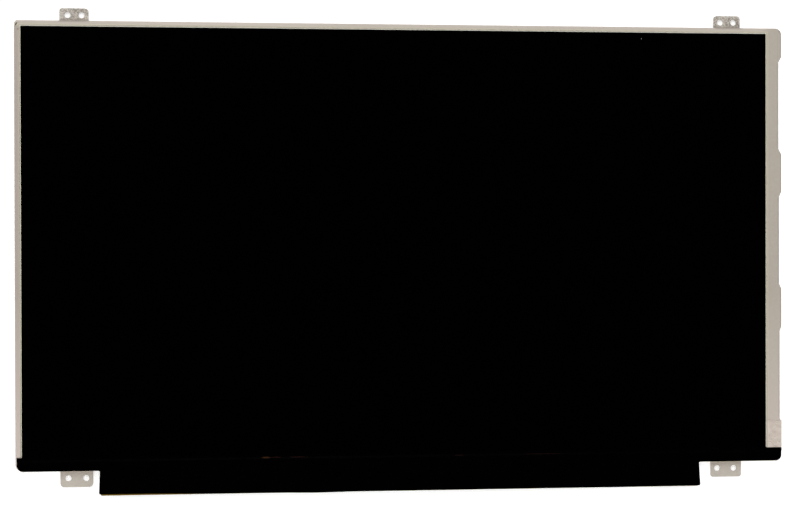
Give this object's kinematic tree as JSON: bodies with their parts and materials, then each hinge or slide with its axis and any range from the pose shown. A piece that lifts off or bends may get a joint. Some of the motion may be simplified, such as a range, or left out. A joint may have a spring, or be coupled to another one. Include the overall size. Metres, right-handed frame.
{
  "type": "laptop screen panel",
  "caption": "Slim notebook display module: black screen in a moulded frame with stamped mounting ears, a taped driver board along the lower edge and a cable socket behind.",
  "frame": {"origin": "middle of the overall outline, on the plane of the rear cover's back", "axes": "+X across the screen to the viewer's right, +Y towards the screen's top edge, +Z out of the display face"},
  "size_m": [0.3594, 0.2238, 0.0037],
  "materials": {
    "frame_plastic": "fine moulded satin, warm light grey",
    "cover_metal": "rolled bare sheet with a fine grain",
    "ear_steel": "stamped bare sheet, dull and grainy",
    "display_film": "black hard-coated polariser",
    "display_glass": "clear thin glass with a faint green cast",
    "black_tape": "matt black polyester tape",
    "pale_tape": "pale wrinkled tape",
    "white_film": "white diffusing film",
    "prism_film": "ribbed clear film",
    "guide_acrylic": "clear polished plate",
    "amber_film": "amber flexible film with copper lines",
    "lamp_resin": "white lamp bodies with a yellow window",
    "board_laminate": "green lacquered laminate with brown edges",
    "chip_resin": "black moulded resin",
    "ferrite": "dark grey sintered ferrite",
    "capacitor_ceramic": "tan ceramic with tinned ends",
    "resistor_ceramic": "black ceramic with tinned ends",
    "socket_plastic": "ivory moulded plastic",
    "socket_steel": "thin tinned steel",
    "contact_gold": "gold-flashed spring contacts"
  },
  "bodies": {
    "root": {"mould_frame": "frame_plastic", "rear_cover": "cover_metal", "ear_top_left": "ear_steel", "ear_top_right": "ear_steel", "ear_bottom_left": "ear_steel", "ear_bottom_right": "ear_steel", "front_polariser": "display_film", "rear_polariser": "display_film", "array_glass": "display_glass", "colour_filter_glass": "display_glass", "front_cover_tape": "black_tape", "rim_tape": "black_tape", "side_tape": "pale_tape", "reflector_sheet": "white_film", "lower_diffuser_sheet": "white_film", "upper_diffuser_sheet": "white_film", "lower_prism_sheet": "prism_film", "upper_prism_sheet": "prism_film", "light_guide_plate": "guide_acrylic", "light_bar_flex": "amber_film", "source_film_left": "amber_film", "source_film_middle": "amber_film", "source_film_right": "amber_film", "light_bar_leds": "lamp_resin", "driver_board": "board_laminate", "timing_controller": "chip_resin", "power_converter": "chip_resin", "backlight_driver": "chip_resin", "memory_chip": "chip_resin", "source_driver_chips": "chip_resin", "power_inductors": "ferrite", "chip_capacitors": "capacitor_ceramic", "chip_resistors": "resistor_ceramic", "signal_connector_housing": "socket_plastic", "signal_connector_shell": "socket_steel", "signal_connector_contacts": "contact_gold"}
  },
  "joints": []
}
